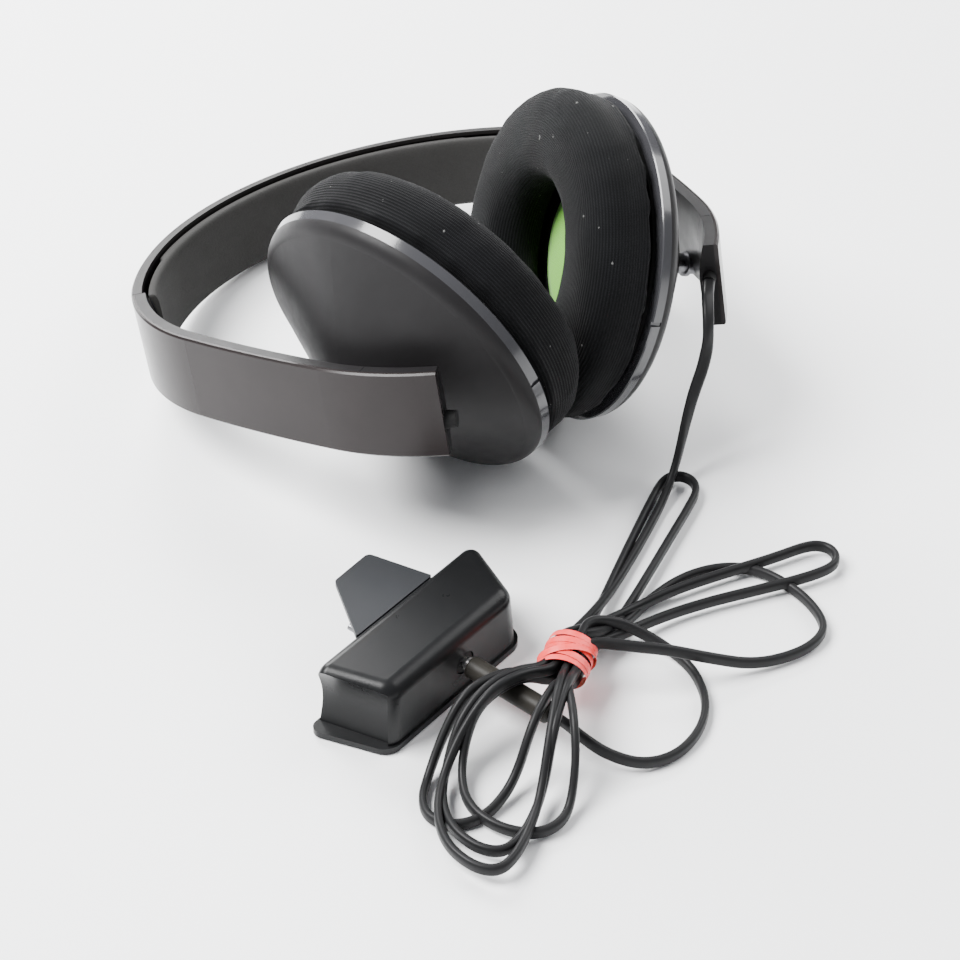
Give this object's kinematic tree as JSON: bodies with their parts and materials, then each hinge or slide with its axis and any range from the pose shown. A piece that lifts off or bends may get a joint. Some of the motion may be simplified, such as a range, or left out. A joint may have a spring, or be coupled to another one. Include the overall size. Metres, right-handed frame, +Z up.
{
  "type": "gaming headset",
  "caption": "Wired over-ear headset with an adjustable band, ball-jointed round cups and a clip-on chat adapter on a tied flat cable.",
  "frame": {"origin": "on the supporting surface, under the middle of the headset without its cable and adapter", "axes": "+X from the left cup to the right cup, +Y from the cups towards the crown of the band, +Z up from the surface the headset lies on"},
  "size_m": [0.1982, 0.2598, 0.0935],
  "materials": {
    "shell_black": "fine satin black plastic",
    "arm_black": "satin black plastic",
    "skin_black": "semi-gloss black plastic",
    "cover_black": "matte black plastic with a fine grain",
    "rim_gloss": "gloss grey-black plastic",
    "pad_suede": "soft black suede-like pad",
    "knit_black": "black knitted cloth over foam",
    "cloth_green": "lime green open-weave cloth",
    "spring_steel": "brushed spring steel",
    "ball_metal": "polished steel",
    "liner_nylon": "natural nylon",
    "inner_black": "moulded black plastic",
    "magnet_steel": "plated steel",
    "film": "clear amber film",
    "screw_steel": "blackened steel",
    "cord_black": "satin black soft PVC",
    "band_red": "pink-red rubber",
    "plug_black": "satin black moulding",
    "pin_metal": "nickel plate",
    "case_black": "satin black plastic",
    "key_black": "matte black plastic",
    "board_green": "green circuit board",
    "contact_metal": "tinned metal"
  },
  "bodies": {
    "right_arm": {"arm_slider_right": "spring_steel", "arm_body_right": "arm_black", "arm_skin_right": "skin_black", "arm_cap_right": "arm_black", "ball_stud_right": "ball_metal", "cable_grommet": "cord_black", "cable_run": "cord_black", "cable_lead": "cord_black", "cable_loops": "cord_black", "rubber_band": "band_red", "plug_barrel": "plug_black", "plug_pin": "pin_metal"},
    "band": {"band_shell": "shell_black", "band_spring": "spring_steel", "band_pad": "pad_suede"},
    "left_arm": {"arm_slider_left": "spring_steel", "arm_body_left": "arm_black", "arm_skin_left": "skin_black", "arm_cap_left": "arm_black", "ball_stud_left": "ball_metal", "end_plug": "inner_black"},
    "right_swivel": {"socket_liner_right": "liner_nylon"},
    "left_swivel": {"socket_liner_left": "liner_nylon"},
    "right_cup": {"ball_socket_right": "inner_black", "cup_cover_right": "cover_black", "cup_rim_right": "rim_gloss", "baffle_right": "inner_black", "driver_frame_right": "inner_black", "driver_magnet_right": "magnet_steel", "diaphragm_right": "film", "driver_grille_right": "inner_black", "driver_cloth_right": "cloth_green", "cushion_ring_right": "inner_black", "ear_cushion_right": "knit_black", "cup_screws_right": "screw_steel"},
    "left_cup": {"ball_socket_left": "inner_black", "cup_cover_left": "cover_black", "cup_rim_left": "rim_gloss", "baffle_left": "inner_black", "driver_frame_left": "inner_black", "driver_magnet_left": "magnet_steel", "diaphragm_left": "film", "driver_grille_left": "inner_black", "driver_cloth_left": "cloth_green", "cushion_ring_left": "inner_black", "ear_cushion_left": "knit_black", "cup_screws_left": "screw_steel"},
    "adapter": {"adapter_case": "case_black", "adapter_face": "case_black", "adapter_screws": "screw_steel", "adapter_board": "board_green", "jack_socket": "contact_metal", "adapter_tongue": "case_black", "adapter_connector": "contact_metal"},
    "button_volume_up_key": {"button_volume_up": "key_black"},
    "button_volume_down_key": {"button_volume_down": "key_black"},
    "button_mute_key": {"button_mute": "key_black"},
    "button_balance_key": {"button_balance": "key_black"}
  },
  "joints": [
    {"name": "right_slide", "type": "slide", "parent": "right_arm", "child": "band", "axis": [-0.5684, 0.7976, -0.2018], "range_m": [0, 0.015]},
    {"name": "left_slide", "type": "slide", "parent": "band", "child": "left_arm", "axis": [-0.5684, -0.7976, 0.2018], "range_m": [0, 0.015]},
    {"name": "right_swivel_turn", "type": "hinge", "parent": "right_arm", "child": "right_swivel", "pos_m": [0.051, -0.04314, 0.03999], "axis": [-0.2504, -0.9386, 0.2375], "range_deg": [-2, 12]},
    {"name": "right_cup_tilt", "type": "hinge", "parent": "right_swivel", "child": "right_cup", "pos_m": [0.051, -0.04314, 0.03999], "axis": [0.3375, 0.1453, 0.9301], "range_deg": [-2, 7]},
    {"name": "left_swivel_turn", "type": "hinge", "parent": "left_arm", "child": "left_swivel", "pos_m": [-0.051, -0.04314, 0.03999], "axis": [-0.1994, 0.95, -0.2404], "range_deg": [-2, 12]},
    {"name": "left_cup_tilt", "type": "hinge", "parent": "left_swivel", "child": "left_cup", "pos_m": [-0.051, -0.04314, 0.03999], "axis": [0.3416, -0.1626, -0.9257], "range_deg": [-2, 7]},
    {"name": "plug_pull", "type": "slide", "parent": "right_arm", "child": "adapter", "axis": [-0.2334, 0.9724, 0], "range_m": [0, 0.014]},
    {"name": "volume_up_press", "type": "slide", "parent": "adapter", "child": "button_volume_up_key", "axis": [0, 0, 1], "range_m": [0, 0.0008], "stiffness_N_per_m": 300, "springref_m": -0.001},
    {"name": "volume_down_press", "type": "slide", "parent": "adapter", "child": "button_volume_down_key", "axis": [0, 0, 1], "range_m": [0, 0.0008], "stiffness_N_per_m": 300, "springref_m": -0.001},
    {"name": "mute_press", "type": "slide", "parent": "adapter", "child": "button_mute_key", "axis": [0, 0, 1], "range_m": [0, 0.0008], "stiffness_N_per_m": 300, "springref_m": -0.001},
    {"name": "balance_press", "type": "slide", "parent": "adapter", "child": "button_balance_key", "axis": [0, 0, 1], "range_m": [0, 0.0008], "stiffness_N_per_m": 300, "springref_m": -0.001}
  ]
}
